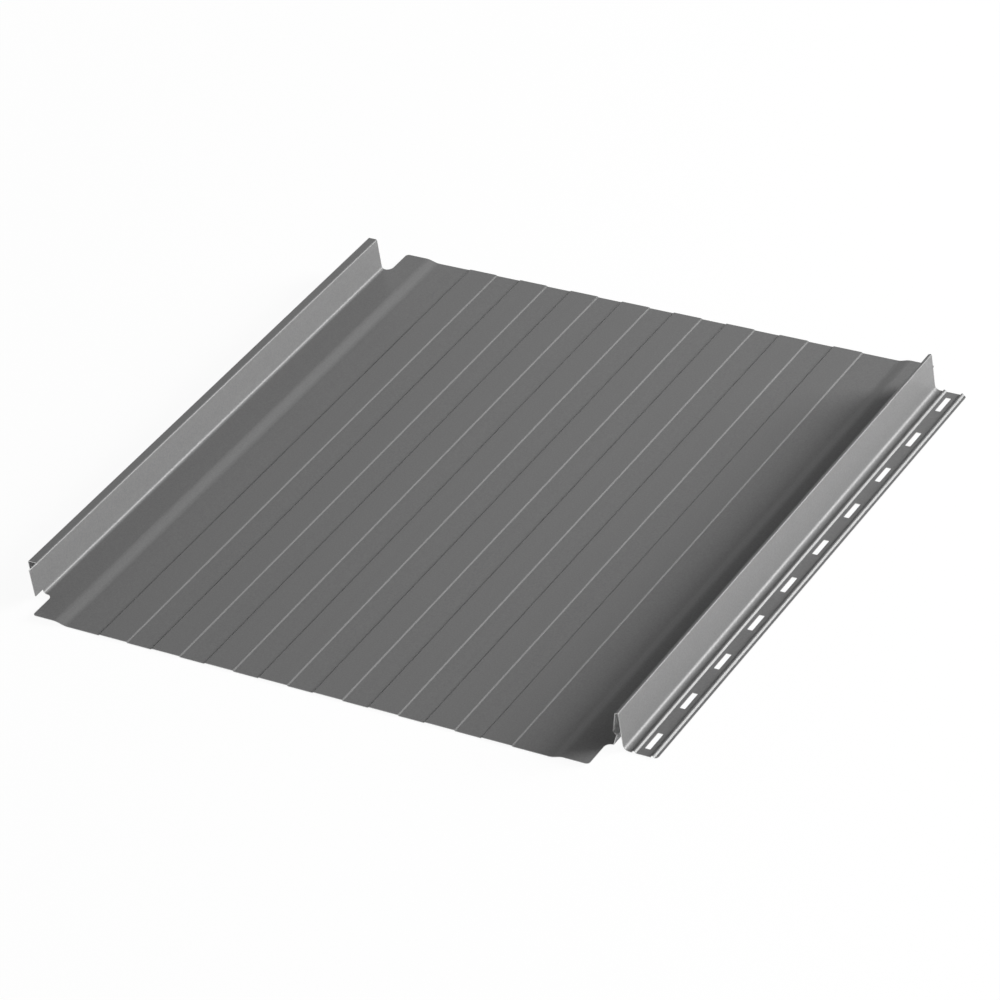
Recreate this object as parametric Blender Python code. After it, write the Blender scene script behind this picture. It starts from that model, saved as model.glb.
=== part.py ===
"""Standing seam roof panel: one strip of steel sheet, punched and roll formed.

Metres, +Z up. The panel lies flat as on a floor or a roof deck: X runs across it, Y along its seams.
The left edge is the female seam, which snaps over the male seam of the next panel. The right edge is
the male seam with a nail flange. The origin is under the middle of the panel, on the floor.
"""

from math import atan2, ceil, cos, floor, hypot, pi, radians, sin, tan

import bmesh
import bpy

# Sheet
SHEET = 0.0005
PANEL_LENGTH = 0.536

# Micro ribs of the pan: flat raised bands with steep narrow flanks
RIB_COUNT = 8
RIB_PITCH = 0.0489
RIB_WIDTH = 0.0262
RIB_HEIGHT = 0.00076
RIB_FLANK = 0.00115
RIB_BEND = 0.0003

# Flats beside the ribs, and the slopes that lead up to the raised margins
LEFT_FLAT = 0.0321
RIGHT_FLAT = 0.0331
MARGIN_SLOPE = 0.0085
MARGIN_BEND = 0.014
RIGHT_MARGIN = 0.0284

# Male seam on the right, each width over the sheet, from the outer face of its upright leg
MALE_HEIGHT = 0.0333
MALE_FOOT_WIDTH = 0.0081
MALE_WAIST_WIDTH = 0.00455
MALE_WAIST_HEIGHT = 0.0125
MALE_KNEE_WIDTH = 0.00705
MALE_KNEE_HEIGHT = 0.0156
MALE_TOP_WIDTH = 0.0032
MALE_TOP_RISE = 0.0009
MALE_BEND = 0.0005

# Nail flange, from the male leg outwards: a wide bend and a valley, two beads with a strip between, a lip
FLANGE_BEND = 0.0043
FLANGE_VALLEY = 0.0065
FLANGE_STRIP = 0.01205
FLANGE_LIP = 0.0021
BEAD_WIDTH = 0.0034
BEAD_HEIGHT = 0.0015
BEAD_CREST = 0.0011
BEAD_BEND = 0.0004

# Raised margins: the left one clears the beads and the edge of the flange that it comes to lie over
MARGIN_CLEARANCE = 0.0006
MARGIN_SIDE_CLEARANCE = 0.00225

# Female seam on the left: it takes in the male seam, and its hook is folded inwards and up
FEMALE_CLEARANCE = 0.0007
FEMALE_TOP_STEP = 0.0014
FEMALE_FOOT_BEND = 0.00285
FEMALE_TOP_BEND = 0.00085
HOOK_DROP = 0.0043
HOOK_BEND = 0.0008
HOOK_TURN = radians(150)
HOOK_CLEARANCE = 0.00002

# Slots in the strip: the metal left beside them and, at the least, before the first one
SLOT_PITCH = 0.050
SLOT_WIDTH = 0.0045
SLOT_LENGTH = 0.0190
SLOT_CORNER = 0.0006
SLOT_SIDE_METAL = 0.00315
SLOT_END_METAL = 0.0050

# End notches: the pan runs past both seams as a tongue, and the female leg keeps a tab at the front
NOTCH_DEPTH = 0.0261
NOTCH_GAP_LEFT = 0.0081
NOTCH_GAP_RIGHT = 0.0055
NOTCH_CORNER = 0.0050
TONGUE_CORNER = 0.0027
FLANGE_CORNER = 0.0030
TAB_LENGTH = 0.0100
TAB_BOTTOM = 0.0069
TAB_TOP_STEP = 0.0006
TAB_CORNER = 0.0008

# Drawing values: the largest step of a faceted arc, the most of a straight side that one bend takes up,
# and how far cutting shapes run past the sheet
ARC_STEP = radians(8)
BEND_SHARE = 0.72
OVERRUN = 0.005

# Levels of the middle of the sheet
LOW = SHEET / 2
RAISED = LOW + SHEET + BEAD_HEIGHT + MARGIN_CLEARANCE

# Sizes that follow from the neighbour's seam and flange
FLANGE_WIDTH = FLANGE_VALLEY + 2 * BEAD_WIDTH + FLANGE_STRIP + FLANGE_LIP
LEFT_MARGIN = FLANGE_WIDTH + MARGIN_SIDE_CLEARANCE
FEMALE_HOLLOW = MALE_KNEE_WIDTH + FEMALE_CLEARANCE
FEMALE_HEIGHT = MALE_HEIGHT - FEMALE_TOP_STEP
HOOK_REACH = FEMALE_HOLLOW - MALE_WAIST_WIDTH - HOOK_CLEARANCE

# Places across the panel, from the first rib outwards
RIBS_END = (RIB_COUNT - 1) * RIB_PITCH + RIB_WIDTH
LEFT_SLOPE_FOOT = -LEFT_FLAT
LEFT_SLOPE_TOP = LEFT_SLOPE_FOOT - MARGIN_SLOPE
FEMALE_LEG_FACE = LEFT_SLOPE_TOP - LEFT_MARGIN
FEMALE_OUTER_FACE = FEMALE_LEG_FACE - FEMALE_HOLLOW - 2 * SHEET
RIGHT_SLOPE_FOOT = RIBS_END + RIGHT_FLAT
RIGHT_SLOPE_TOP = RIGHT_SLOPE_FOOT + MARGIN_SLOPE
MALE_FOOT = RIGHT_SLOPE_TOP + RIGHT_MARGIN
MALE_LEG_FACE = MALE_FOOT + MALE_FOOT_WIDTH
INNER_BEAD = MALE_LEG_FACE + FLANGE_VALLEY
OUTER_BEAD = INNER_BEAD + BEAD_WIDTH + FLANGE_STRIP
FLANGE_EDGE = MALE_LEG_FACE + FLANGE_WIDTH
SLOT_START = INNER_BEAD + BEAD_WIDTH + SLOT_SIDE_METAL
MIDDLE_X = (FEMALE_OUTER_FACE + FLANGE_EDGE) / 2
MIDDLE_Y = PANEL_LENGTH / 2
TONGUE_LEFT = FEMALE_LEG_FACE + NOTCH_GAP_LEFT
TONGUE_RIGHT = MALE_FOOT - NOTCH_GAP_RIGHT


def clear_scene():
    """Remove every object of the file that is open."""
    for thing in list(bpy.data.objects):
        bpy.data.objects.remove(thing, do_unlink=True)


def mid(inside_radius):
    """Radius of a bend at the middle of the sheet, from its inside radius."""
    return inside_radius + SHEET / 2


def rounded(corners, closed=False):
    """Turn corners (x, y, radius) into a line of points with an arc at each corner."""
    points = []
    count = len(corners)
    for index, (x, y, radius) in enumerate(corners):
        is_end = not closed and index in (0, count - 1)
        if is_end or radius == 0:
            points.append((x, y))
            continue
        before = corners[index - 1]
        after = corners[(index + 1) % count]
        points += corner_arc((before[0], before[1]), (x, y), (after[0], after[1]), radius)
    return points


def corner_arc(before, corner, after, radius):
    """Points of the arc that rounds one corner, kept inside its two straight sides."""
    way_in = (corner[0] - before[0], corner[1] - before[1])
    way_out = (after[0] - corner[0], after[1] - corner[1])
    turn = atan2(way_in[0] * way_out[1] - way_in[1] * way_out[0],
                 way_in[0] * way_out[0] + way_in[1] * way_out[1])
    reach = radius * tan(abs(turn) / 2)
    reach = min(reach, BEND_SHARE * hypot(*way_in), BEND_SHARE * hypot(*way_out))
    radius = reach / tan(abs(turn) / 2)
    heading = atan2(way_in[1], way_in[0])
    side = 1 if turn > 0 else -1
    start = (corner[0] - reach * cos(heading), corner[1] - reach * sin(heading))
    centre = (start[0] - side * radius * sin(heading), start[1] + side * radius * cos(heading))
    steps = max(2, ceil(abs(turn) / ARC_STEP))
    points = []
    for step in range(steps + 1):
        angle = heading + turn * step / steps
        points.append((centre[0] + side * radius * sin(angle), centre[1] - side * radius * cos(angle)))
    return points


def female_seam():
    """Middle line of the female seam, from the tip of its hook to the foot of its leg."""
    half = SHEET / 2
    outer_x = FEMALE_OUTER_FACE + half
    leg_x = FEMALE_LEG_FACE - half
    top_z = FEMALE_HEIGHT - half
    radius = mid(HOOK_BEND)
    centre_x = outer_x + radius
    centre_z = MALE_WAIST_HEIGHT - HOOK_DROP + half + radius
    lean = pi - HOOK_TURN
    bend_end_x = centre_x + radius * cos(lean)
    bend_end_z = centre_z - radius * sin(lean)
    tip_x = FEMALE_OUTER_FACE + SHEET + HOOK_REACH - half * cos(lean)
    tip_z = bend_end_z + (tip_x - bend_end_x) / tan(lean)
    line = [(tip_x, tip_z, 0)]
    steps = ceil(HOOK_TURN / ARC_STEP)
    for step in range(steps + 1):
        angle = pi + HOOK_TURN * (steps - step) / steps
        line.append((centre_x + radius * cos(angle), centre_z + radius * sin(angle), 0))
    line.append((outer_x, top_z, mid(FEMALE_TOP_BEND)))
    line.append((leg_x, top_z, mid(FEMALE_TOP_BEND)))
    line.append((leg_x, RAISED, mid(FEMALE_FOOT_BEND)))
    return line


def pan():
    """Middle line of the pan: raised margins, slopes and micro ribs."""
    line = [(LEFT_SLOPE_TOP, RAISED, MARGIN_BEND), (LEFT_SLOPE_FOOT, LOW, MARGIN_BEND)]
    for index in range(RIB_COUNT):
        rise = index * RIB_PITCH
        fall = rise + RIB_WIDTH
        line.append((rise - RIB_FLANK / 2, LOW, mid(RIB_BEND)))
        line.append((rise + RIB_FLANK / 2, LOW + RIB_HEIGHT, mid(RIB_BEND)))
        line.append((fall - RIB_FLANK / 2, LOW + RIB_HEIGHT, mid(RIB_BEND)))
        line.append((fall + RIB_FLANK / 2, LOW, mid(RIB_BEND)))
    line.append((RIGHT_SLOPE_FOOT, LOW, MARGIN_BEND))
    line.append((RIGHT_SLOPE_TOP, RAISED, MARGIN_BEND))
    return line


def male_seam():
    """Middle line of the male seam: leaning foot, waist and knee that the hook catches, top and leg."""
    half = SHEET / 2
    leg_x = MALE_LEG_FACE - half
    top_left_x = MALE_LEG_FACE - MALE_TOP_WIDTH + half
    top_slope = atan2(MALE_TOP_RISE, leg_x - top_left_x)
    bend = mid(MALE_BEND)
    ridge_z = MALE_HEIGHT - half + bend * (tan((pi / 2 + top_slope) / 2) - 1)
    return [
        (MALE_FOOT, RAISED, bend),
        (MALE_LEG_FACE - MALE_WAIST_WIDTH + half, MALE_WAIST_HEIGHT, bend),
        (MALE_LEG_FACE - MALE_KNEE_WIDTH + half, MALE_KNEE_HEIGHT, bend),
        (top_left_x, ridge_z - MALE_TOP_RISE, bend),
        (leg_x, ridge_z, bend),
        (leg_x, LOW, mid(FLANGE_BEND)),
    ]


def bead(start_x):
    """Middle line of one stiffening bead of the nail flange."""
    bend = mid(BEAD_BEND)
    flank = (BEAD_WIDTH - BEAD_CREST) / 2
    return [
        (start_x, LOW, bend),
        (start_x + flank, LOW + BEAD_HEIGHT, bend),
        (start_x + flank + BEAD_CREST, LOW + BEAD_HEIGHT, bend),
        (start_x + BEAD_WIDTH, LOW, bend),
    ]


def section_line():
    """Middle line of the whole section, from the hook on the left to past the lip on the right."""
    corners = female_seam() + pan() + male_seam() + bead(INNER_BEAD) + bead(OUTER_BEAD)
    corners.append((FLANGE_EDGE + OVERRUN, LOW, 0))
    return rounded(corners)


def thickened(line):
    """Closed outline of a sheet of even thickness around its middle line."""
    above = []
    below = []
    last = len(line) - 1
    for index, (x, z) in enumerate(line):
        before = line[max(index - 1, 0)]
        after = line[min(index + 1, last)]
        way_in = unit(before, (x, z)) if index > 0 else unit((x, z), after)
        way_out = unit((x, z), after) if index < last else way_in
        across = (-way_in[1] - way_out[1], way_in[0] + way_out[0])
        length = SHEET / (across[0] ** 2 + across[1] ** 2)
        above.append((x + across[0] * length, z + across[1] * length))
        below.append((x - across[0] * length, z - across[1] * length))
    return below + above[::-1]


def unit(start, end):
    """Direction from one point to another, of length one."""
    length = hypot(end[0] - start[0], end[1] - start[1])
    return ((end[0] - start[0]) / length, (end[1] - start[1]) / length)


def prism(name, outline, place, depth):
    """Closed prism: an outline put in space by place(), swept along the vector depth."""
    mesh = bpy.data.meshes.new(name)
    shape = bmesh.new()
    corners = [shape.verts.new(place(u, v)) for u, v in outline]
    cap = shape.faces.new(corners)
    swept = bmesh.ops.extrude_face_region(shape, geom=[cap], use_keep_orig=True)
    moved = [part for part in swept["geom"] if isinstance(part, bmesh.types.BMVert)]
    bmesh.ops.translate(shape, verts=moved, vec=depth)
    bmesh.ops.recalc_face_normals(shape, faces=shape.faces)
    shape.to_mesh(mesh)
    shape.free()
    thing = bpy.data.objects.new(name, mesh)
    bpy.context.collection.objects.link(thing)
    return thing


def in_plan(x, y):
    """A point of a plan outline, below the panel."""
    return (x - MIDDLE_X, y - MIDDLE_Y, -OVERRUN)


def across_panel(x, z):
    """A point of the section, just in front of the panel."""
    return (x - MIDDLE_X, -MIDDLE_Y - OVERRUN, z)


def beside_leg(y, z):
    """A point of a side view, inside the hollow of the female seam."""
    return (FEMALE_LEG_FACE - MIDDLE_X - FEMALE_HOLLOW / 4, y - MIDDLE_Y, z)


def guide(thing):
    """Show a cutting shape as a wire only."""
    thing.hide_render = True
    thing.display_type = "WIRE"
    return thing


def strip_outline():
    """Plan outline of the trimmed strip: a tongue at each end, and the seams set back from it."""
    seam_start = NOTCH_DEPTH
    seam_end = PANEL_LENGTH - NOTCH_DEPTH
    far_left = FEMALE_OUTER_FACE - OVERRUN
    return rounded([
        (TONGUE_LEFT, 0, TONGUE_CORNER),
        (TONGUE_RIGHT, 0, TONGUE_CORNER),
        (TONGUE_RIGHT, seam_start, NOTCH_CORNER),
        (FLANGE_EDGE, seam_start, FLANGE_CORNER),
        (FLANGE_EDGE, seam_end, FLANGE_CORNER),
        (TONGUE_RIGHT, seam_end, NOTCH_CORNER),
        (TONGUE_RIGHT, PANEL_LENGTH, TONGUE_CORNER),
        (TONGUE_LEFT, PANEL_LENGTH, TONGUE_CORNER),
        (TONGUE_LEFT, seam_end, NOTCH_CORNER),
        (far_left, seam_end, 0),
        (far_left, seam_start, 0),
        (TONGUE_LEFT, seam_start, NOTCH_CORNER),
    ], closed=True)


def trimming_shape():
    """The space that the trimmed strip keeps: the plan outline, and the tab of the female leg."""
    height = max(FEMALE_HEIGHT, MALE_HEIGHT) + 2 * OVERRUN
    strip = guide(prism("trim_outline", strip_outline(), in_plan, (0, 0, height)))
    tab_top = FEMALE_HEIGHT - TAB_TOP_STEP
    tab_front = NOTCH_DEPTH - TAB_LENGTH
    tab_back = NOTCH_DEPTH + OVERRUN
    tab_outline = rounded([
        (tab_front, TAB_BOTTOM, TAB_CORNER),
        (tab_back, TAB_BOTTOM, 0),
        (tab_back, tab_top, 0),
        (tab_front, tab_top, 0),
    ], closed=True)
    tab = guide(prism("trim_tab", tab_outline, beside_leg, (FEMALE_HOLLOW / 2, 0, 0)))
    apply_boolean(strip, tab, "UNION")
    return strip


def slot_shapes():
    """One cutting prism for each slot that the nail flange has room for, all in one guide object."""
    room = PANEL_LENGTH - 2 * NOTCH_DEPTH - 2 * SLOT_END_METAL - SLOT_LENGTH
    steps = floor(room / SLOT_PITCH)
    mesh = bpy.data.meshes.new("slot_cutters")
    joined = bmesh.new()
    for index in range(steps + 1):
        start_y = MIDDLE_Y + (index - steps / 2) * SLOT_PITCH - SLOT_LENGTH / 2
        outline = rounded([
            (SLOT_START, start_y, SLOT_CORNER),
            (SLOT_START + SLOT_WIDTH, start_y, SLOT_CORNER),
            (SLOT_START + SLOT_WIDTH, start_y + SLOT_LENGTH, SLOT_CORNER),
            (SLOT_START, start_y + SLOT_LENGTH, SLOT_CORNER),
        ], closed=True)
        one = prism("slot_cutter", outline, in_plan, (0, 0, 2 * OVERRUN))
        joined.from_mesh(one.data)
        bpy.data.objects.remove(one, do_unlink=True)
    joined.to_mesh(mesh)
    joined.free()
    cutters = bpy.data.objects.new("slot_cutters", mesh)
    bpy.context.collection.objects.link(cutters)
    return guide(cutters)


def apply_boolean(target, cutter, operation):
    """Add a Boolean modifier that stays on its object."""
    change = target.modifiers.new(cutter.name, "BOOLEAN")
    change.operation = operation
    change.solver = "EXACT"
    change.object = cutter


def coated_steel():
    """Dark grey matt coil coating on steel."""
    material = bpy.data.materials.new("coated_steel")
    material.use_nodes = True
    shader = material.node_tree.nodes["Principled BSDF"]
    shader.inputs["Base Color"].default_value = (0.13, 0.13, 0.13, 1)
    shader.inputs["Roughness"].default_value = 0.55
    shader.inputs["Metallic"].default_value = 0.0
    return material


def main():
    clear_scene()
    depth = (0, PANEL_LENGTH + 2 * OVERRUN, 0)
    panel = prism("roof_panel", thickened(section_line()), across_panel, depth)
    apply_boolean(panel, trimming_shape(), "INTERSECT")
    apply_boolean(panel, slot_shapes(), "DIFFERENCE")
    panel.data.materials.append(coated_steel())
    panel.data.shade_smooth()
    panel.data.set_sharp_from_angle(angle=radians(30))


main()
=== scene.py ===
# %% [markdown]
# A standing seam roof panel, made for its picture.
# The real panel starts as a coil of thin steel, painted dark grey on its weather side and with a plain
# wash coat behind. A punch cuts the slots and the end notches while the strip is flat. Rolls then bend
# it, a little at each stand, until both seams stand up. This lesson goes the same way where it helps:
# a flat strip is drawn out by extruding, bent by bevelling, given its gauge, and punched with a Boolean.

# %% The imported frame
import math

import bmesh
import bpy
from mathutils import Matrix, Vector


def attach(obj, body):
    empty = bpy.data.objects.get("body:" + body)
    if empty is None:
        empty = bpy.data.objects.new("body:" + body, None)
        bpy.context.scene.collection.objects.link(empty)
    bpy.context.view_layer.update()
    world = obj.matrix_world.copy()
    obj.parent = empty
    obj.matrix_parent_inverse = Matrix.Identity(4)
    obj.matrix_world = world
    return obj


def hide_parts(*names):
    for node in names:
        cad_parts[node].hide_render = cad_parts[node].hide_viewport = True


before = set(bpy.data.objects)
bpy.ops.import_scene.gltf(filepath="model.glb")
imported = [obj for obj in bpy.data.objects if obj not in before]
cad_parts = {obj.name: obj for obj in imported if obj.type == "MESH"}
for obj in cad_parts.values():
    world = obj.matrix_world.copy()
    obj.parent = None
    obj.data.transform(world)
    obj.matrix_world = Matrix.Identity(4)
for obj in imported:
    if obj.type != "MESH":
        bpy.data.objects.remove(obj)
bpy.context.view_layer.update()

# %% [markdown]
# The photograph looks down on the panel from in front and from the right, with a long lens, so its long
# edges run almost parallel. The ribs and the slots gave the camera's place. A camera can be aimed with
# angles, but a matrix of its three directions needs no turning order, so that is how it is placed here.

# %% The camera
SENSOR = 36.0
FOCAL = 171.13
camera_place = Vector((1.8182, -2.4172, 2.0654))
ahead = Vector((-0.49694, 0.65892, -0.56468)).normalized()
right = Vector((0.84405, 0.51815, -0.13818)).normalized()
upward = right.cross(ahead).normalized()

lens = bpy.data.cameras.new("view")
lens.sensor_width = SENSOR
lens.lens = FOCAL
lens.clip_end = 30
camera = bpy.data.objects.new("view", lens)
bpy.context.scene.collection.objects.link(camera)
camera.matrix_world = Matrix.Translation(camera_place) @ Matrix((right, upward, -ahead)).transposed().to_4x4()
bpy.context.scene.camera = camera
print("camera is", round(camera_place.length, 3), "m from the panel")

# %% [markdown]
# A roll former's drawing gives the line of the middle of the sheet as straight lengths that meet at
# corners, and a radius for each corner. The section could be drawn as a curve, but a list of corners is
# how the roll maker reads it, and it can be extruded one length at a time. All numbers are millimetres:
# across the panel, height of the middle of the sheet, and radius there. The sheet is 0.5 mm thick.

# %% The corners of the section
MM = 0.001
SHEET = 0.5
LENGTH = 536.0
LOW = SHEET / 2
RAISED = 2.85
COUNT_OF_RIBS = 8
RIB_PITCH = 48.9
RIB_WIDTH = 26.2
RIB_HEIGHT = 0.76
RIB_FLANK = 1.15
RIB_RADIUS = 0.55
FIRST_RIB = -197.5
BEADS = (255.6, 271.05)
BEAD_WIDTH = 3.4
BEAD_FLANK = 1.15
BEAD_HEIGHT = 1.5
BEAD_RADIUS = 0.65
SLOPE_FOOT = -229.6
SLOPE_RADIUS = 14.0
FLANGE_EDGE = 276.55
SPARE = 5.0

left_flat = (SLOPE_FOOT, FIRST_RIB - RIB_FLANK / 2)
to_the_left = [(SLOPE_FOOT, LOW, SLOPE_RADIUS), (-238.1, RAISED, SLOPE_RADIUS), (-268.05, RAISED, 3.1),
               (-268.05, 31.65, 1.1), (-276.3, 31.65, 1.1), (-276.3, 9.5, 0)]


def raised_band(start, width, flank, height, radius):
    """The four corners of a band that is raised by its height, from the middle of one flank to the other's."""
    end = start + width
    return [(start - flank / 2, LOW, radius), (start + flank / 2, LOW + height, radius),
            (end - flank / 2, LOW + height, radius), (end + flank / 2, LOW, radius)]


to_the_right = []
for index in range(COUNT_OF_RIBS):
    to_the_right += raised_band(FIRST_RIB + index * RIB_PITCH, RIB_WIDTH, RIB_FLANK, RIB_HEIGHT, RIB_RADIUS)
to_the_right += [(204.1, LOW, SLOPE_RADIUS), (212.6, RAISED, SLOPE_RADIUS)]
to_the_right += [(241.0, RAISED, 0.75), (244.8, 12.5, 0.75), (242.3, 15.6, 0.75), (246.15, 32.441, 0.75),
                 (248.85, 33.341, 0.75), (248.85, LOW, 4.55)]
for bead in BEADS:
    to_the_right += raised_band(bead + BEAD_FLANK / 2, BEAD_WIDTH - BEAD_FLANK, BEAD_FLANK, BEAD_HEIGHT,
                                BEAD_RADIUS)
to_the_right += [(FLANGE_EDGE + SPARE, LOW, 0)]
print("corners in the section", len(to_the_left) + len(to_the_right))

# %% [markdown]
# Two helpers do what a hand does with the mouse: pick edges, faces or points by where they are, and
# select one object alone. Picking by place keeps working when the count of edges changes, which picking
# by number doesn't.

# %% Picking
def only(thing):
    """Select one object alone and make it the active one."""
    bpy.ops.object.select_all(action="DESELECT")
    thing.select_set(True)
    bpy.context.view_layer.objects.active = thing


def pick(kind, test):
    """In edit mode, select only the parts of one kind that pass the test, and count them."""
    bpy.ops.mesh.select_mode(type=kind)
    bpy.ops.mesh.select_all(action="DESELECT")
    mesh = bmesh.from_edit_mesh(bpy.context.object.data)
    chosen = [part for part in {"VERT": mesh.verts, "EDGE": mesh.edges, "FACE": mesh.faces}[kind] if test(part)]
    for part in chosen:
        part.select_set(True)
    bmesh.update_edit_mesh(bpy.context.object.data)
    return len(chosen)


def near(point, x, z):
    """Is a mesh point on the lengthwise line at (x, z) of the section, given in mm?"""
    return abs(point.co.x - x * MM) < 1e-5 and abs(point.co.z - z * MM) < 1e-5


def apply_all(thing):
    """Apply the modifiers of one object in their order."""
    only(thing)
    for name in [change.name for change in thing.modifiers]:
        bpy.ops.object.modifier_apply(modifier=name)

# %% [markdown]
# The strip starts as a flat band, the low flat beside the first rib. It is a plane at its real size, a
# little longer than the panel, as a coil is before the shear. Its right edge is extruded from corner to
# corner as far as the lip of the nail flange, and its left edge as far as the outer wall of the seam.

# %% The strip, drawn out flat by flat
bpy.ops.object.select_all(action="DESELECT")
bpy.ops.mesh.primitive_plane_add(size=1, location=(0, 0, 0))
sheet = bpy.context.object
sheet.name = "sheet"
bpy.ops.object.mode_set(mode="EDIT")
bpy.ops.transform.resize(value=((left_flat[1] - left_flat[0]) * MM, (LENGTH + 2 * SPARE) * MM, 1))
bpy.ops.transform.translate(value=((left_flat[0] + left_flat[1]) / 2 * MM, 0, LOW * MM))


def draw_out(corners):
    """Extrude the open edge at the first corner through all the corners that follow it."""
    x, z, _ = corners[0]
    pick("EDGE", lambda edge: all(near(point, x, z) for point in edge.verts))
    for next_x, next_z, _ in corners[1:]:
        bpy.ops.mesh.extrude_region_move(
            TRANSFORM_OT_translate={"value": ((next_x - x) * MM, 0, (next_z - z) * MM)})
        x, z = next_x, next_z


draw_out(to_the_right)
draw_out(to_the_left)
bpy.ops.object.mode_set(mode="OBJECT")
print("flat lengths in the strip", len(sheet.data.polygons))

# %% [markdown]
# The lower end of the outer wall is folded inwards and up into a hook, which catches under the knee of
# the next panel's seam. It turns through 150 degrees. A bevel would flatten so sharp a fold, so it is
# spun round the centre of its bend, and then drawn out to its tip.

# %% The hook
HOOK_CENTRE = (-275.25, 9.5)
HOOK_TURN = 150
HOOK_TIP = (-273.0865, 11.1473)
bpy.ops.object.mode_set(mode="EDIT")
pick("EDGE", lambda edge: all(near(point, *to_the_left[-1][:2]) for point in edge.verts))
bpy.ops.mesh.spin(steps=24, angle=math.radians(HOOK_TURN), axis=(0, 1, 0),
                  center=(HOOK_CENTRE[0] * MM, 0, HOOK_CENTRE[1] * MM))
mesh = bmesh.from_edit_mesh(sheet.data)
fold_end = [point.co.copy() for point in mesh.verts if point.select][0]
bpy.ops.mesh.extrude_region_move(
    TRANSFORM_OT_translate={"value": (HOOK_TIP[0] * MM - fold_end.x, 0, HOOK_TIP[1] * MM - fold_end.z)})
bpy.ops.object.mode_set(mode="OBJECT")
print("fold of the hook ends at", round(fold_end.x / MM, 3), round(fold_end.z / MM, 3))

# %% [markdown]
# Now the rolls. Each corner becomes a round bend. A bevel of an edge keeps both flats and puts an arc
# between them, and its width is the radius times the tangent of half the turn. Bends of the same width
# are done in one stroke. A step every 5 degrees keeps the highlights on the bends smooth.

# %% The bends
BEND_STEP = 5
line = list(reversed(to_the_left)) + to_the_right
strokes = {}
for index in range(1, len(line) - 1):
    x, z, radius = line[index]
    came = Vector((x - line[index - 1][0], z - line[index - 1][1]))
    goes = Vector((line[index + 1][0] - x, line[index + 1][1] - z))
    turn = came.angle(goes)
    if radius:
        strokes.setdefault((round(radius, 3), round(turn, 3)), []).append((x, z))

only(sheet)
bpy.ops.object.mode_set(mode="EDIT")
for (radius, turn), places in strokes.items():
    found = pick("EDGE", lambda edge: any(all(near(point, x, z) for point in edge.verts) for x, z in places))
    bpy.ops.mesh.bevel(offset=radius * math.tan(turn / 2) * MM, offset_type="OFFSET", profile=0.5,
                       segments=max(2, math.ceil(math.degrees(turn) / BEND_STEP)), clamp_overlap=False)
    print("radius", radius, "turn", round(math.degrees(turn), 1), "bends", found)
bpy.ops.mesh.select_all(action="SELECT")
bpy.ops.mesh.remove_doubles(threshold=1e-6)
bpy.ops.object.mode_set(mode="OBJECT")
print("faces across the strip", len(sheet.data.polygons))

# %% [markdown]
# The steel is 0.5 mm thick, half of it on each side of the line that was drawn. Solidify gives it that
# gauge and keeps it even round the bends. It can give the back and the edges materials of their own: the
# weather side is painted, the back has a thin wash coat, and the cut edges are bare zinc and steel.

# %% The gauge
paint = bpy.data.materials.new("paint")
wash_coat = bpy.data.materials.new("wash_coat")
cut_steel = bpy.data.materials.new("cut_steel")
for finish in (paint, wash_coat, cut_steel):
    sheet.data.materials.append(finish)

bottom = min(sheet.data.polygons, key=lambda face: (round(face.center.z, 5), -face.area))
if bottom.normal.z < 0:
    bpy.ops.object.mode_set(mode="EDIT")
    bpy.ops.mesh.select_all(action="SELECT")
    bpy.ops.mesh.flip_normals()
    bpy.ops.object.mode_set(mode="OBJECT")

gauge = sheet.modifiers.new("gauge", "SOLIDIFY")
gauge.thickness = SHEET * MM
gauge.offset = 0
gauge.use_even_offset = True
gauge.material_offset = 1
gauge.material_offset_rim = 2
apply_all(sheet)
print("faces of the thick strip", len(sheet.data.polygons))

# %% [markdown]
# The end notches let the pan run on past the seams as a tongue, which the fitter folds round the eaves
# strip. One die makes the outline: a plane is extruded into a cross, its faces are joined into one, its
# corners are rounded, and it is drawn up into a block. What is inside this block stays.

# %% The outline die
SEAM_END = 241.9
TONGUE = (-259.7, 235.5)
NOTCH_RADIUS = 5.0
TONGUE_RADIUS = 2.7
FLANGE_RADIUS = 3.0
CORNER_STEPS = 9
DIE_BOTTOM = -5.0
DIE_HEIGHT = 45.0


def plane_between(name, low, high):
    """Add a flat plane between two corners (x, y) in mm, with its origin at the middle of the scene."""
    bpy.ops.object.select_all(action="DESELECT")
    bpy.ops.mesh.primitive_plane_add(size=1, location=(0, 0, 0))
    thing = bpy.context.object
    thing.name = name
    bpy.ops.object.mode_set(mode="EDIT")
    bpy.ops.transform.resize(value=((high[0] - low[0]) * MM, (high[1] - low[1]) * MM, 1))
    bpy.ops.transform.translate(value=((low[0] + high[0]) / 2 * MM, (low[1] + high[1]) / 2 * MM, 0))
    return thing


def side(test, way):
    """Extrude the open edge whose middle passes the test, by a way in mm."""
    pick("EDGE", lambda edge: edge.is_boundary and test((edge.verts[0].co + edge.verts[1].co) / (2 * MM)))
    bpy.ops.mesh.extrude_region_move(TRANSFORM_OT_translate={"value": [step * MM for step in way]})


def round_off(radius, test):
    """Round the corners that pass the test."""
    found = pick("VERT", lambda point: test(point.co / MM))
    bpy.ops.mesh.bevel(affect="VERTICES", offset=radius * MM, offset_type="OFFSET", profile=0.5,
                       segments=CORNER_STEPS, clamp_overlap=False)
    return found


def at_a_notch(spot):
    """Is a corner of the outline one of the four inner ones, where the tongue meets the seams?"""
    return TONGUE[0] - 1 < spot.x < TONGUE[1] + 1 and abs(spot.y) < SEAM_END + 1


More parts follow.
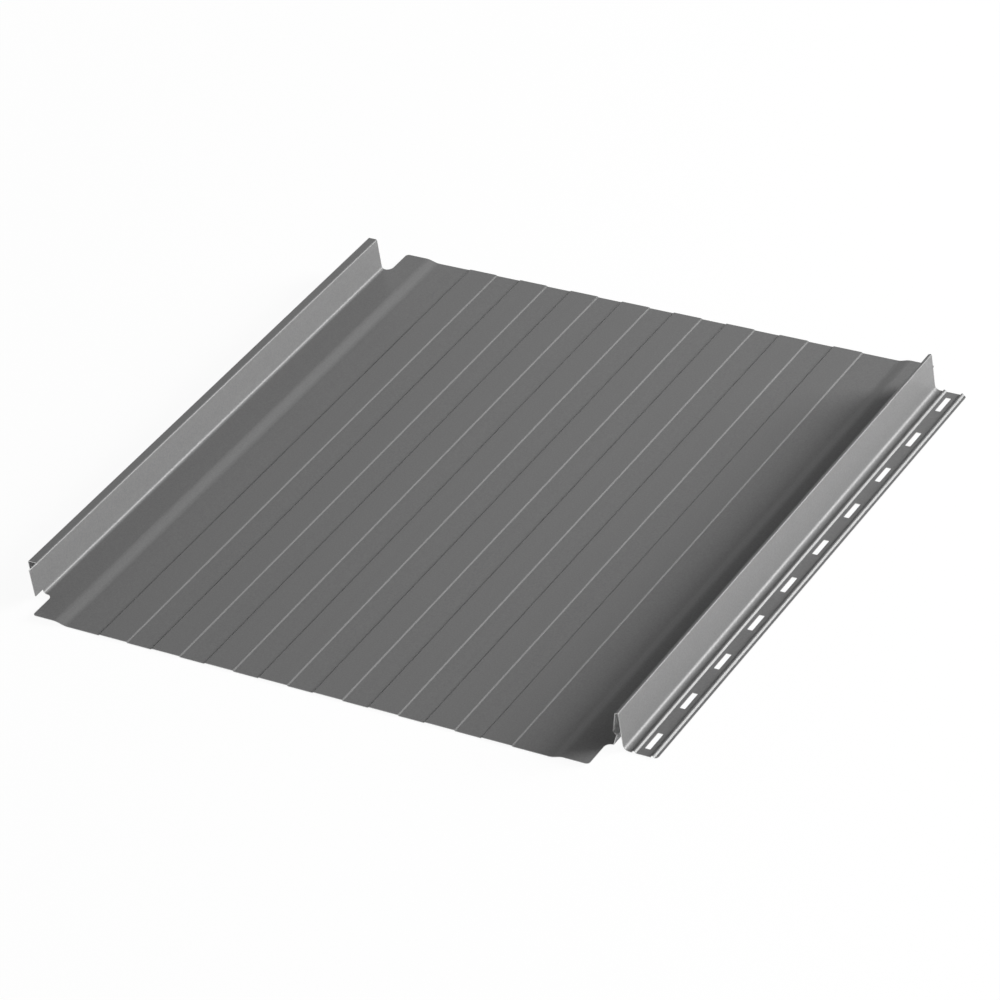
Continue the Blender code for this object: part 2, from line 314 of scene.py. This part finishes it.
die = plane_between("outline_die", (TONGUE[0], -SEAM_END), (TONGUE[1], SEAM_END))
side(lambda spot: abs(spot.x - TONGUE[0]) < 0.01, (-FLANGE_EDGE - SPARE - TONGUE[0], 0, 0))
side(lambda spot: abs(spot.x - TONGUE[1]) < 0.01, (FLANGE_EDGE - TONGUE[1], 0, 0))
middle_x = (TONGUE[0] + TONGUE[1]) / 2
side(lambda spot: abs(spot.x - middle_x) < 1 and spot.y > 0, (0, LENGTH / 2 - SEAM_END, 0))
side(lambda spot: abs(spot.x - middle_x) < 1 and spot.y < 0, (0, SEAM_END - LENGTH / 2, 0))
bpy.ops.mesh.select_mode(type="FACE")
bpy.ops.mesh.select_all(action="SELECT")
bpy.ops.mesh.dissolve_faces()
notch_corners = round_off(NOTCH_RADIUS, at_a_notch)
tongue_corners = round_off(TONGUE_RADIUS, lambda spot: abs(spot.y) > LENGTH / 2 - 1)
flange_corners = round_off(FLANGE_RADIUS, lambda spot: spot.x > FLANGE_EDGE - 1)
print("rounded corners", notch_corners, tongue_corners, flange_corners)

bpy.ops.mesh.select_mode(type="FACE")
bpy.ops.mesh.select_all(action="SELECT")
bpy.ops.mesh.extrude_region_move(TRANSFORM_OT_translate={"value": (0, 0, DIE_HEIGHT * MM)})
bpy.ops.mesh.select_all(action="SELECT")
bpy.ops.transform.translate(value=(0, 0, DIE_BOTTOM * MM))
bpy.ops.mesh.normals_make_consistent(inside=False)
bpy.ops.object.mode_set(mode="OBJECT")
die.data.materials.append(cut_steel)

# %% [markdown]
# At the front, the leg of the left seam keeps a tab that stands out past the rest of its seam. The
# fitter bends it round the end of the seam to close it. Its block is modelled on its side, in the plane
# of the leg, and joined to the outline die.

# %% The tab
TAB_FRONT = -251.9
TAB_BOTTOM = 6.9
TAB_TOP = 31.3
TAB_RADIUS = 0.8
TAB_BLOCK_LEFT = -269.7
TAB_BLOCK_WIDTH = 3.75
tab = plane_between("tab_die", (TAB_FRONT, TAB_BOTTOM), (-SEAM_END + SPARE, TAB_TOP))
round_off(TAB_RADIUS, lambda spot: spot.x < TAB_FRONT + 1 and spot.y < TAB_BOTTOM + 1)
bpy.ops.object.mode_set(mode="OBJECT")
tab.data.transform(Matrix(((0, 0, 1, 0), (1, 0, 0, 0), (0, 1, 0, 0), (0, 0, 0, 1))))
bpy.ops.object.mode_set(mode="EDIT")
bpy.ops.mesh.select_all(action="SELECT")
bpy.ops.transform.translate(value=(TAB_BLOCK_LEFT * MM, 0, 0))
bpy.ops.mesh.extrude_region_move(TRANSFORM_OT_translate={"value": (TAB_BLOCK_WIDTH * MM, 0, 0)})
bpy.ops.mesh.select_all(action="SELECT")
bpy.ops.mesh.normals_make_consistent(inside=False)
bpy.ops.object.mode_set(mode="OBJECT")
tab.data.materials.append(cut_steel)

joined = die.modifiers.new("tab", "BOOLEAN")
joined.operation = "UNION"
joined.solver = "EXACT"
joined.object = tab
apply_all(die)
print("faces of the outline die", len(die.data.polygons))

# %% [markdown]
# The nail flange has a row of slots for its screws. They are slots and not round holes, so that the
# sheet can slide under the screw heads as it warms and cools. One punch is modelled with rounded corners
# and drawn up, then copied along the row.

# %% The slot punches
SLOT_PITCH = 50.0
SLOT_MIDDLE = 264.4
SLOT_WIDTH = 4.5
SLOT_LENGTH = 19.0
SLOT_RADIUS = 0.6
PUNCH_HEIGHT = 6.0
COUNT_OF_SLOTS = 10
first = -(COUNT_OF_SLOTS - 1) / 2 * SLOT_PITCH
punch = plane_between("slot_punch", (SLOT_MIDDLE - SLOT_WIDTH / 2, first - SLOT_LENGTH / 2),
                      (SLOT_MIDDLE + SLOT_WIDTH / 2, first + SLOT_LENGTH / 2))
round_off(SLOT_RADIUS, lambda spot: True)
bpy.ops.mesh.select_mode(type="FACE")
bpy.ops.mesh.select_all(action="SELECT")
bpy.ops.mesh.extrude_region_move(TRANSFORM_OT_translate={"value": (0, 0, PUNCH_HEIGHT * MM)})
bpy.ops.mesh.select_all(action="SELECT")
bpy.ops.transform.translate(value=(0, 0, -PUNCH_HEIGHT / 2 * MM))
bpy.ops.mesh.normals_make_consistent(inside=False)
for _ in range(COUNT_OF_SLOTS - 1):
    bpy.ops.mesh.duplicate_move(TRANSFORM_OT_translate={"value": (0, SLOT_PITCH * MM, 0)})
bpy.ops.object.mode_set(mode="OBJECT")
punch.data.materials.append(cut_steel)
print("faces of the punches", len(punch.data.polygons))

# %% [markdown]
# The die keeps what it covers and the punches take out the slots. The exact solver is the slower one but
# cuts cleanly, and the cut faces take over the material of the die, so each new edge is bare metal.

# %% Punching
for cutter, operation in ((die, "INTERSECT"), (punch, "DIFFERENCE")):
    stroke = sheet.modifiers.new(cutter.name, "BOOLEAN")
    stroke.operation = operation
    stroke.solver = "EXACT"
    stroke.material_mode = "TRANSFER"
    stroke.object = cutter
apply_all(sheet)
for cutter in (die, tab, punch):
    bpy.data.objects.remove(cutter, do_unlink=True)
print("faces after punching", len(sheet.data.polygons))

# %% [markdown]
# A sheared edge is never quite sharp. A bevel of a few hundredths of a millimetre catches the thin line
# of light that runs round every cut in the photograph. The bends stay as they are, because only edges
# that turn by more than half a right angle are picked.

# %% The sheared edges
EDGE_ROUND = 0.05
only(sheet)
bpy.ops.object.mode_set(mode="EDIT")
bpy.ops.mesh.select_mode(type="VERT")
bpy.ops.mesh.select_all(action="SELECT")
bpy.ops.mesh.remove_doubles(threshold=1e-6)
sharp = pick("EDGE", lambda edge: len(edge.link_faces) == 2 and edge.calc_face_angle(0) > math.radians(50))
bpy.ops.mesh.bevel(offset=EDGE_ROUND * MM, offset_type="OFFSET", profile=0.5, segments=2, clamp_overlap=True,
                   material=2)
bpy.ops.object.mode_set(mode="OBJECT")
bpy.ops.object.shade_smooth_by_angle(angle=math.radians(40))
flats = sheet.modifiers.new("even_flats", "WEIGHTED_NORMAL")
flats.mode = "FACE_AREA"
flats.keep_sharp = True
apply_all(sheet)
check = bmesh.new()
check.from_mesh(sheet.data)
open_edges = sum(1 for edge in check.edges if not edge.is_manifold)
volume = check.calc_volume()
check.free()
print("sharp edges rounded", sharp, "faces", len(sheet.data.polygons), "open edges", open_edges,
      "volume in cm3", round(volume * 1e6, 2))
areas = [0.0, 0.0, 0.0]
for face in sheet.data.polygons:
    areas[face.material_index] += face.area
print("areas by material in m2", [round(area, 5) for area in areas])

# %% [markdown]
# Three finishes meet on this sheet. Two effects are wanted by more than one of them, so each is a node
# group, built once and placed in each material with its own values. The first is a fine grain: the matt
# paint has fillers in it, and the wash coat is thin over the zinc. The noise reads Object coordinates, so
# a grain has the same size in millimetres everywhere, and it runs round the bends with the steel.

# %% The grain, as a node group
def new_group(name, inputs, outputs):
    """Make a shader node group with named sockets, and give back its tree, its input and its output."""
    tree = bpy.data.node_groups.new(name, "ShaderNodeTree")
    for socket, kind, value in inputs:
        tree.interface.new_socket(socket, in_out="INPUT", socket_type=kind).default_value = value
    for socket, kind in outputs:
        tree.interface.new_socket(socket, in_out="OUTPUT", socket_type=kind)
    return tree, tree.nodes.new("NodeGroupInput"), tree.nodes.new("NodeGroupOutput")


def span(tree, factor, low, high, result):
    """Spread a 0 to 1 value over a range whose ends come from sockets, and feed it on."""
    node = tree.nodes.new("ShaderNodeMapRange")
    tree.links.new(factor, node.inputs["Value"])
    tree.links.new(low, node.inputs["To Min"])
    tree.links.new(high, node.inputs["To Max"])
    tree.links.new(node.outputs["Result"], result)


grain, grain_in, grain_out = new_group(
    "grain",
    [("Grains per Metre", "NodeSocketFloat", 850.0), ("Dark Tone", "NodeSocketFloat", 0.08),
     ("Light Tone", "NodeSocketFloat", 0.16), ("Smooth", "NodeSocketFloat", 0.4),
     ("Rough", "NodeSocketFloat", 0.5)],
    [("Tone", "NodeSocketFloat"), ("Roughness", "NodeSocketFloat"), ("Height", "NodeSocketFloat")])
place = grain.nodes.new("ShaderNodeTexCoord")
speck = grain.nodes.new("ShaderNodeTexNoise")
speck.inputs["Detail"].default_value = 3.0
speck.inputs["Roughness"].default_value = 0.6
grain.links.new(place.outputs["Object"], speck.inputs["Vector"])
grain.links.new(grain_in.outputs["Grains per Metre"], speck.inputs["Scale"])
span(grain, speck.outputs["Fac"], grain_in.outputs["Dark Tone"], grain_in.outputs["Light Tone"],
     grain_out.inputs["Tone"])
span(grain, speck.outputs["Fac"], grain_in.outputs["Rough"], grain_in.outputs["Smooth"],
     grain_out.inputs["Roughness"])
grain.links.new(speck.outputs["Fac"], grain_out.inputs["Height"])
print("sockets of the grain", [socket.name for socket in grain.interface.items_tree])

# %% [markdown]
# The second effect is the mark of the rolls. The strip slides through them lengthwise, so they leave
# faint streaks along it, wide and soft, where the paint is polished a little. A noise squeezed along the
# panel by a Mapping node gives streaks that run its whole length.

# %% The roll marks, as a node group
marks, marks_in, marks_out = new_group(
    "roll_marks",
    [("Streaks per Metre", "NodeSocketFloat", 220.0), ("Strength", "NodeSocketFloat", 0.03),
     ("Value", "NodeSocketFloat", 0.5)],
    [("Value", "NodeSocketFloat")])
place = marks.nodes.new("ShaderNodeTexCoord")
squeeze = marks.nodes.new("ShaderNodeMapping")
squeeze.inputs["Scale"].default_value = (1.0, 0.012, 1.0)
streak = marks.nodes.new("ShaderNodeTexNoise")
streak.inputs["Detail"].default_value = 2.0
marks.links.new(place.outputs["Object"], squeeze.inputs["Vector"])
marks.links.new(squeeze.outputs["Vector"], streak.inputs["Vector"])
marks.links.new(marks_in.outputs["Streaks per Metre"], streak.inputs["Scale"])
centred = marks.nodes.new("ShaderNodeMath")
centred.operation = "SUBTRACT"
centred.inputs[1].default_value = 0.5
marks.links.new(streak.outputs["Fac"], centred.inputs[0])
shift = marks.nodes.new("ShaderNodeMath")
shift.operation = "MULTIPLY_ADD"
marks.links.new(centred.outputs["Value"], shift.inputs[0])
marks.links.new(marks_in.outputs["Strength"], shift.inputs[1])
marks.links.new(marks_in.outputs["Value"], shift.inputs[2])
marks.links.new(shift.outputs["Value"], marks_out.inputs["Value"])
print("sockets of the roll marks", [socket.name for socket in marks.interface.items_tree])

# %% [markdown]
# Now the finishes themselves. Each has a Principled shader, whose base colour and roughness come from
# the groups and whose other values are set on its own sockets. A Bump node lifts the grain by about a
# hundredth of a millimetre at most. The tones in a group are single numbers, because all three are
# neutral greys, and a Combine Color node makes them a colour.

# %% The materials
def place_group(tree, group, values):
    """Place a node group in a material and set its inputs."""
    node = tree.nodes.new("ShaderNodeGroup")
    node.node_tree = group
    for socket, value in values.items():
        node.inputs[socket].default_value = value
    return node


def coat(finish, grains, tones, roughness, streaks, bump):
    """Wire a material from the two groups: a grain, and roll marks that shift its tone and its gloss.

    tones and roughness are ranges; streaks are the shift of the tone, that of the roughness, and the
    streaks per metre; bump is the strength and the lift in mm.
    """
    finish.use_nodes = True
    tree = finish.node_tree
    shader = tree.nodes["Principled BSDF"]
    body = place_group(tree, grain, {"Grains per Metre": grains, "Dark Tone": tones[0], "Light Tone": tones[1],
                                     "Smooth": roughness[0], "Rough": roughness[1]})
    for output, strength, socket in (("Tone", streaks[0], None), ("Roughness", streaks[1], "Roughness")):
        rolled = place_group(tree, marks, {"Streaks per Metre": streaks[2], "Strength": strength})
        tree.links.new(body.outputs[output], rolled.inputs["Value"])
        if socket:
            tree.links.new(rolled.outputs["Value"], shader.inputs[socket])
            continue
        grey = tree.nodes.new("ShaderNodeCombineColor")
        for channel in ("Red", "Green", "Blue"):
            tree.links.new(rolled.outputs["Value"], grey.inputs[channel])
        tree.links.new(grey.outputs["Color"], shader.inputs["Base Color"])
    lift = tree.nodes.new("ShaderNodeBump")
    lift.inputs["Strength"].default_value = bump[0]
    lift.inputs["Distance"].default_value = bump[1] * MM
    tree.links.new(body.outputs["Height"], lift.inputs["Height"])
    tree.links.new(lift.outputs["Normal"], shader.inputs["Normal"])
    return shader


painted = coat(paint, grains=850.0, tones=(0.082, 0.158), roughness=(0.36, 0.44),
               streaks=(0.010, 0.05, 220.0), bump=(0.40, 0.03))
painted.inputs["Specular IOR Level"].default_value = 0.27
coat(wash_coat, grains=500.0, tones=(0.46, 0.56), roughness=(0.45, 0.60),
     streaks=(0.020, 0.06, 160.0), bump=(0.20, 0.02))
bare = coat(cut_steel, grains=4000.0, tones=(0.50, 0.62), roughness=(0.28, 0.42),
            streaks=(0.0, 0.0, 220.0), bump=(0.20, 0.01))
bare.inputs["Metallic"].default_value = 1.0
print("materials of the sheet", [slot.name for slot in sheet.data.materials])

# %% [markdown]
# The photograph has a white ground that is brighter than any lamp should make it. So the floor is a pale
# plain surface, and a Light Path node mixes white light of strength 1 into it for the rays that come
# from the camera or from a reflection. Near the panel, enough of the plain surface is left for its soft
# shadow. Farther out the share of white light grows to all of it, so a low view has no edge in the ground.

# %% The floor
GROUND_GLOW = 0.95
SHADOW_REACH = 0.6
ALL_WHITE = 2.5


def seen_directly(tree):
    """Give a socket that is 1 for rays from the camera, a reflection or a clear material, and else 0."""
    rays = tree.nodes.new("ShaderNodeLightPath")
    total = rays.outputs["Is Camera Ray"]
    for kind in ("Is Glossy Ray", "Is Transmission Ray"):
        either = tree.nodes.new("ShaderNodeMath")
        either.operation = "MAXIMUM"
        tree.links.new(total, either.inputs[0])
        tree.links.new(rays.outputs[kind], either.inputs[1])
        total = either.outputs["Value"]
    return total


bpy.ops.object.select_all(action="DESELECT")
bpy.ops.mesh.primitive_plane_add(size=24, location=(0, 0, -0.0001))
floor = bpy.context.object
floor.name = "floor"
ground = bpy.data.materials.new("ground")
ground.use_nodes = True
tree = ground.node_tree
pale = tree.nodes["Principled BSDF"]
pale.inputs["Base Color"].default_value = (0.9, 0.9, 0.9, 1)
pale.inputs["Roughness"].default_value = 0.9
glow = tree.nodes.new("ShaderNodeEmission")
place = tree.nodes.new("ShaderNodeTexCoord")
distance = tree.nodes.new("ShaderNodeVectorMath")
distance.operation = "LENGTH"
share = tree.nodes.new("ShaderNodeMapRange")
share.inputs["From Min"].default_value = SHADOW_REACH
share.inputs["From Max"].default_value = ALL_WHITE
share.inputs["To Min"].default_value = GROUND_GLOW
share.inputs["To Max"].default_value = 1.0
amount = tree.nodes.new("ShaderNodeMath")
amount.operation = "MULTIPLY"
blend = tree.nodes.new("ShaderNodeMixShader")
tree.links.new(place.outputs["Object"], distance.inputs[0])
tree.links.new(distance.outputs["Value"], share.inputs["Value"])
tree.links.new(share.outputs["Result"], amount.inputs[1])
tree.links.new(seen_directly(tree), amount.inputs[0])
tree.links.new(amount.outputs["Value"], blend.inputs["Fac"])
tree.links.new(pale.outputs["BSDF"], blend.inputs[1])
tree.links.new(glow.outputs["Emission"], blend.inputs[2])
tree.links.new(blend.outputs["Shader"], tree.nodes["Material Output"].inputs["Surface"])
floor.data.materials.append(ground)

# %% [markdown]
# The photograph's light is a soft studio light. The faces that turn to the right are lighter than those
# that turn to the left, and every rib has a thin dark line on its left, so most light comes from the
# right and from behind, rather low. Four large lamps do this. The main one gives most of the light and
# draws the ribs. Two weak ones, one higher and one farther round to the back, soften its shadow. The
# last is low in front and shines into the open ends of the seams. A small bright lamp would give hard
# shadows and hot spots. The world is white for the camera and for reflections, and dim for the rest.

# %% The lights
DIM = 0.02
world = bpy.data.worlds.new("studio")
bpy.context.scene.world = world
world.use_nodes = True
tree = world.node_tree
sky = tree.nodes["Background"]
sky.inputs["Color"].default_value = (1, 1, 1, 1)
strength = tree.nodes.new("ShaderNodeMath")
strength.operation = "MAXIMUM"
strength.inputs[1].default_value = DIM
tree.links.new(seen_directly(tree), strength.inputs[0])
tree.links.new(strength.outputs["Value"], sky.inputs["Strength"])


def studio_lamp(name, watts, around, above, size, away=4.5):
    """Hang a square lamp on a sphere round the panel, turned to face it. The two angles are in degrees."""
    lamp = bpy.data.lights.new(name, "AREA")
    lamp.size = size
    lamp.energy = watts
    around, above = math.radians(around), math.radians(above)
    way = Vector((math.cos(above) * math.cos(around), math.cos(above) * math.sin(around), math.sin(above)))
    hung = bpy.data.objects.new(name, lamp)
    bpy.context.scene.collection.objects.link(hung)
    hung.matrix_world = Matrix.Translation(way * away) @ way.to_track_quat("Z", "Y").to_matrix().to_4x4()
    print(name, "hangs at", [round(value, 2) for value in hung.matrix_world.translation])


studio_lamp("main_lamp", 430, 35, 20, 2.0)
studio_lamp("high_lamp", 38, 10, 40, 2.0)
studio_lamp("back_lamp", 50, 60, 21, 2.0)
studio_lamp("front_lamp", 66, -75, 8, 2.0)
bpy.context.scene.view_settings.view_transform = "Standard"

# %% Handing over
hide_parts("roof_panel")
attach(sheet, "root")
